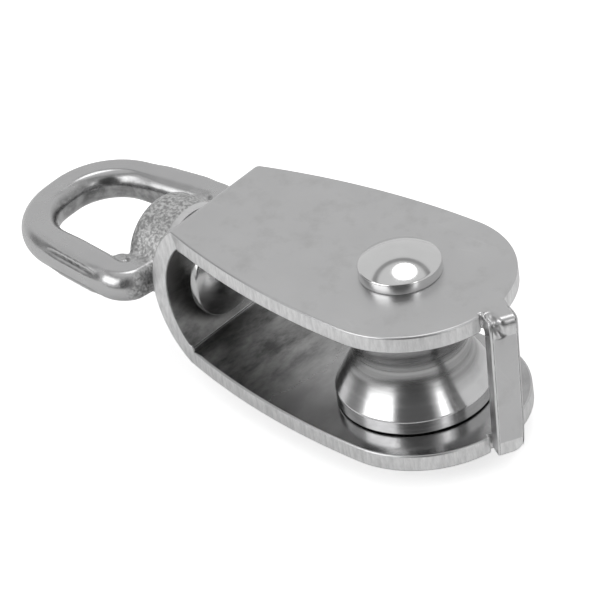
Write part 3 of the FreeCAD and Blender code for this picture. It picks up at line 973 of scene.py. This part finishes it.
def satin_sheet(worn_edge, tumbled):
    """Satin stainless sheet: tumbled faces, dull stains, painted shade inside, edges rubbed bright.
    """
    material, tree, shader, place = new_material("satin_stainless_sheet")
    drum = group_node(tree, tumbled, {"Place": place})
    edge = group_node(tree, worn_edge, {"Width": 0.35 * MM, "Place": place})["Edge"]
    x, _, z = parts_of(tree, place)
    upright, cut = upright_faces(tree, z)
    # open faces: cloudy, stained and scratched
    stain = times(tree, remap(tree, noise(tree, place, 190.0, 6.0, 0.65), 0.52, 0.70), 0.24)
    face = colour_mix(tree, drum["Cloud"], grey(0.56, 0.003), grey(0.64, 0.003))
    face = colour_mix(tree, stain, face, (0.36, 0.355, 0.35))
    face = colour_mix(tree, times(tree, drum["Scratch"], 0.10), face, grey(0.8))
    # faces turned inward: painted shade, deepest towards the wall and on the strap's inner side
    inside = facing_in(tree, place, (0, 0, 0), 6.5 * MM, 8.5 * MM)
    towards_wall = remap(tree, x, -25 * MM, -13 * MM, 0.98, 0.34)
    on_strap = times(tree, remap(tree, x, 11 * MM, 14 * MM, 0.0, 0.98), upright)
    depth = math_node(tree, "MAXIMUM", towards_wall, on_strap)
    painted_shade_inside = colour_mix(tree, times(tree, inside, depth), face, inner_painted_shade(tree, x, z, place))
    # cut edges: bright marks of the shear
    sheared = sheared_edge(tree, place, cut)
    banded = colour_mix(tree, remap(tree, sheared, 0.2, 0.66, 0.0, 0.9), painted_shade_inside, grey(0.92))
    dull = remap(tree, drum["Cloud"], 0.3, 0.7, 0.28, 0.36)
    sharper = times(tree, inside, remap(tree, x, -38 * MM, -8 * MM, -0.14, 0.12))
    rough = math_node(tree, "SUBTRACT", math_node(tree, "SUBTRACT", dull, sharper),
                      times(tree, edge, 0.10))
    finish_with(tree, shader, colour_mix(tree, edge, banded, grey(0.84, 0.005)), rough)
    bump_into(tree, shader, plus(tree, drum["Height"], times(tree, sheared, 4.0)), 0.35, 0.012 * MM)
    return material


def mirror_steel(tumbled, name, dark, light, haze_low, haze_high):
    """Polished stainless with faint buffing haze."""
    material, tree, shader, place = new_material(name)
    drum = group_node(tree, tumbled, {"Place": place, "Patch": 260.0})
    colour = colour_mix(tree, drum["Cloud"], grey(dark), grey(light))
    finish_with(tree, shader, colour, remap(tree, drum["Cloud"], 0.35, 0.7, haze_low, haze_high))
    bump_into(tree, shader, noise(tree, place, 420.0, 2.0, 0.5), 0.25, 0.02 * MM)
    return material


def turned_steel(turning, tumbled):
    """Turned and buffed stainless with fine tool rings, with painted shade and more roughness in
    the groove.
    """
    material, tree, shader, place = new_material("turned_stainless")
    lathe = group_node(tree, turning, {"Place": place})
    drum = group_node(tree, tumbled, {"Place": place, "Patch": 180.0})
    ringed = colour_mix(tree, lathe["Ring"], grey(0.66, 0.005), grey(0.76, 0.005))
    dim = times(tree, remap(tree, drum["Cloud"], 0.55, 0.75), 0.3)
    buffed = colour_mix(tree, dim, ringed, grey(0.42))
    groove = remap(tree, distance_from_axis(tree, place), 11.4 * MM, 10.0 * MM)
    shade_streak = remap(tree, lathe["Ring"], 0.35, 0.6, 0.55, 0.95)
    # painted shade in the groove, streaked along the tool rings
    colour = colour_mix(tree, times(tree, groove, shade_streak), buffed, grey(0.30))
    rough = remap(tree, lathe["Ring"], 0.3, 0.7, 0.13, 0.20)
    finish_with(tree, shader, colour, plus(tree, rough, times(tree, groove, 0.10)))
    bump_into(tree, shader, lathe["Height"], 0.12, 0.004 * MM)
    return material


def leg_crease_shade(tree, x, width, z, place):
    """Mask of the painted shade in the crease along the outer side of each leg."""
    base_out, run, outward = leg_directions()
    nose_x = base_out.x + run.x
    crease_out = base_out.dot(outward) + 2.25 * MM
    crease_height = 1.62 * MM
    off_leg = vector_node(tree, "DOT_PRODUCT", vector_from(tree, x, width), outward)
    off_crease = vector_from(tree, math_node(tree, "SUBTRACT", off_leg, crease_out),
                             math_node(tree, "SUBTRACT", size_of(tree, z), crease_height))
    gap = vector_node(tree, "LENGTH", off_crease)
    on_leg = times(tree, remap(tree, x, nose_x, nose_x + 2 * MM),
                   remap(tree, x, base_out.x, base_out.x - 1 * MM))
    crease = times(tree, remap(tree, gap, 0.42 * MM, 0.15 * MM), on_leg)
    return times(tree, crease, remap(tree, noise(tree, place, 500.0, 3.0), 0.35, 0.6, 0.55, 0.95))


def cast_steel(tumbled):
    """Cast stainless: tumbled smooth on the ring, still grainy round the hub."""
    material, tree, shader, place = new_material("cast_stainless_eye")
    drum = group_node(tree, tumbled, {"Place": place, "Patch": 140.0, "Grain": 1500.0})
    x, y, z = parts_of(tree, place)
    width = size_of(tree, y)
    near_hub = times(tree, remap(tree, width, 10.5 * MM, 8.0 * MM),
                     remap(tree, x, -55.5 * MM, -53.0 * MM), True)
    hub = math_node(tree, "MAXIMUM", near_hub, remap(tree, x, -46.9 * MM, -45.9 * MM))
    # ring: cloudy, with painted shade in the crease and painted shade on its inner side, mottled
    # there
    ring = colour_mix(tree, drum["Cloud"], grey(0.50, 0.003), grey(0.61, 0.003))
    # grey(0.10) is painted shade in the leg's crease
    ring = colour_mix(tree, leg_crease_shade(tree, x, width, z, place), ring, grey(0.10))
    # painted shade: the ring's faces turned into the eye are darkened to grey and mottled
    inner = facing_in(tree, place, (-62 * MM, 0, 0), 4.0 * MM, 7.0 * MM)
    mottle = remap(tree, noise(tree, place, 620.0, 4.0, 0.65), 0.35, 0.62, 0.35, 0.9)
    ring = colour_mix(tree, times(tree, inner, mottle), ring, grey(0.22))
    # hub: pitted, its rim rubbed bright
    pits = noise(tree, place, 1900.0, 3.0, 0.6)
    grain = colour_mix(tree, remap(tree, pits, 0.42, 0.60), grey(0.34), grey(0.66))
    rubbed = remap(tree, x, HUB_FACE_X - 0.75 * MM, HUB_FACE_X - 0.6 * MM)
    grain = colour_mix(tree, rubbed, grain, grey(0.84))
    dull = remap(tree, drum["Cloud"], 0.3, 0.7, 0.20, 0.30)
    finish_with(tree, shader, colour_mix(tree, hub, ring, grain),
                plus(tree, dull, times(tree, hub, 0.22)))
    height = plus(tree, times(tree, pits, hub), times(tree, drum["Height"], 0.05))
    bump_into(tree, shader, height, 0.8, 0.07 * MM)
    return material


def plain_bronze(turning):
    """Bearing bronze with tool rings."""
    material, tree, shader, place = new_material("bearing_bronze")
    lathe = group_node(tree, turning, {"Place": place})
    colour = colour_mix(tree, lathe["Ring"], (0.50, 0.33, 0.16), (0.68, 0.48, 0.26))
    finish_with(tree, shader, colour, remap(tree, lathe["Ring"], 0.3, 0.7, 0.25, 0.4))
    bump_into(tree, shader, lathe["Height"], 0.2, 0.005 * MM)
    return material


worn_edge = worn_edge_group()
tumbled = tumbled_group()
turning = turning_group()
sheet_finish = satin_sheet(worn_edge, tumbled)
mirror_finish = mirror_steel(tumbled, "mirror_polished_stainless", 0.70, 0.80, 0.07, 0.16)
# the pin's darker copy of the polished steel is painted shade for its place inside the frame; its
# haze is a real duller polish
pin_finish = mirror_steel(tumbled, "hazy_stainless_painted_shade", 0.44, 0.70, 0.12, 0.22)
turned_finish = turned_steel(turning, tumbled)
cast_finish = cast_steel(tumbled)
bronze_finish = plain_bronze(turning)

make_frame(sheet_finish)
make_axle_rivet(mirror_finish)
make_sheave(turned_finish)
make_swivel_pin(pin_finish)
make_swivel_eye(cast_finish)

# ---- hidden CAD pieces keep their shape and take a finish ----
for node, finish in (("axle_sleeve", turned_finish), ("shim_washers", turned_finish),
                     ("sheave_bush", bronze_finish)):
    inner_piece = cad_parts[node]
    inner_piece.data.materials.clear()
    inner_piece.data.materials.append(finish)

# ---- studio ----
FLOOR_Z = cad_box[0][2]
FLOOR_LIFT = 0.6
WALL_LIGHT = 0.70
COVE_SHADE = 0.38
BOARD_AZIMUTH = -50
clear_selection()
bpy.ops.mesh.primitive_plane_add(size=6.0, location=(0, 0, FLOOR_Z))
floor = bpy.context.object
floor.name = "studio_floor"
floor_finish, tree, shader, _ = new_material("matt_white_floor", metal=0.0)
shader.inputs["Base Color"].default_value = (0.93, 0.93, 0.93, 1)
shader.inputs["Roughness"].default_value = 0.9
shader.inputs["Emission Color"].default_value = (1, 1, 1, 1)
seen = tree.nodes.new("ShaderNodeLightPath").outputs["Is Camera Ray"]
tree.links.new(times(tree, seen, FLOOR_LIFT), shader.inputs["Emission Strength"])
floor.data.materials.append(floor_finish)

world = bpy.data.worlds.new("studio")
bpy.context.scene.world = world
world.use_nodes = True
sky = world.node_tree
sky_colour = sky.nodes["Background"]
sky_direction = sky.nodes.new("ShaderNodeTexCoord").outputs["Generated"]


def direction(azimuth, elevation):
    """Unit vector towards a place in the studio, azimuth from +X towards +Y, in degrees."""
    turn, lift = math.radians(azimuth), math.radians(elevation)
    level = math.cos(lift)
    return Vector((math.cos(turn) * level, math.sin(turn) * level, math.sin(lift)))


def dark_card(strength, azimuth, elevation, inner, outer, depth):
    """Dim the studio's walls round one direction, as a dark card hung there does: by depth out to
    the inner angle, then less and less to the outer one."""
    facing = vector_node(sky, "DOT_PRODUCT", sky_direction, direction(azimuth, elevation))
    edge, core = math.cos(math.radians(outer)), math.cos(math.radians(inner))
    cover = remap(sky, facing, edge, core, 0.0, depth)
    return times(sky, strength, math_node(sky, "SUBTRACT", 1.0, cover))


# even walls with a shaded cove under the ceiling and two dark cards
sky_height = parts_of(sky, sky_direction)[2]
cove = times(sky, remap(sky, sky_height, 0.76, 0.79), remap(sky, sky_height, 0.87, 0.83))
wall_light = math_node(sky, "SUBTRACT", WALL_LIGHT, times(sky, cove, COVE_SHADE))
wall_light = dark_card(wall_light, -52, 20, 23, 32, 0.85)
wall_light = dark_card(wall_light, -150, 16, 12, 24, 0.65)
sky_colour.inputs["Color"].default_value = (1, 1, 1, 1)
sky.links.new(wall_light, sky_colour.inputs["Strength"])


def soft_box(name, azimuth, elevation, distance, size, radiance, shape="RECTANGLE"):
    """Soft box that faces the block; a rectangle shines with the radiance given."""
    lamp = bpy.data.lights.new(name, "AREA")
    lamp.shape = shape
    lamp.size, lamp.size_y = size
    lamp.energy = radiance * math.pi * size[0] * size[1]
    holder = bpy.data.objects.new(name, lamp)
    bpy.context.scene.collection.objects.link(holder)
    holder.location = direction(azimuth, elevation) * distance
    holder.rotation_euler = holder.location.to_track_quat("Z", "Y").to_euler()


soft_box("top_light", 115, 76, 0.9, (0.46, 0.46), 1.45, "DISK")
soft_box("left_box", -107, 28, 1.0, (0.76, 0.52), 1.7)
soft_box("right_box", -11, 26, 1.0, (0.15, 0.40), 1.9)

# a dark board lying on the floor, hidden from the camera, for the polished pieces to mirror
clear_selection()
board_place = direction(BOARD_AZIMUTH, 0) * 0.60 + Vector((0, 0, FLOOR_Z + 0.5 * MM))
bpy.ops.mesh.primitive_plane_add(size=1.0, location=board_place)
board = bpy.context.object
board.name = "dark_board"
board.scale = (1.06, 1.0, 1.0)
board.rotation_euler = (0, 0, math.radians(BOARD_AZIMUTH))
board_finish, tree, shader, _ = new_material("dark_card_stock", metal=0.0)
shader.inputs["Base Color"].default_value = (0.08, 0.08, 0.08, 1)
shader.inputs["Roughness"].default_value = 1.0
board.data.materials.append(board_finish)
board.visible_camera = False
board.visible_diffuse = False
board.visible_shadow = False

# ---- camera ----
AZIMUTH = math.radians(45.61)
ELEVATION = math.radians(34.80)
ROLL = math.radians(-8.47)
DISTANCE = 979.82 * MM
SHIFT_RIGHT = -16.97 * MM
SHIFT_UP = 5.81 * MM
SENSOR_MM = 36
FOCAL_IN_WIDTHS = 6336.28 / 600
away = Vector((math.sin(AZIMUTH) * math.cos(ELEVATION), -math.cos(AZIMUTH) * math.cos(ELEVATION),
               math.sin(ELEVATION)))
level_right = Vector((math.cos(AZIMUTH), math.sin(AZIMUTH), 0))
level_up = away.cross(level_right)
right = math.cos(ROLL) * level_right + math.sin(ROLL) * level_up
up = -math.sin(ROLL) * level_right + math.cos(ROLL) * level_up
lens = bpy.data.cameras.new("camera")
lens.sensor_width = SENSOR_MM
lens.lens = FOCAL_IN_WIDTHS * SENSOR_MM
lens.clip_start = 0.01
lens.clip_end = 20
camera = bpy.data.objects.new("camera", lens)
bpy.context.scene.collection.objects.link(camera)
stand = Matrix.Translation(right * SHIFT_RIGHT + up * SHIFT_UP + away * DISTANCE)
camera.matrix_world = stand @ Matrix((right, up, away)).transposed().to_4x4()
bpy.context.scene.camera = camera
bpy.context.scene.view_settings.view_transform = "Standard"
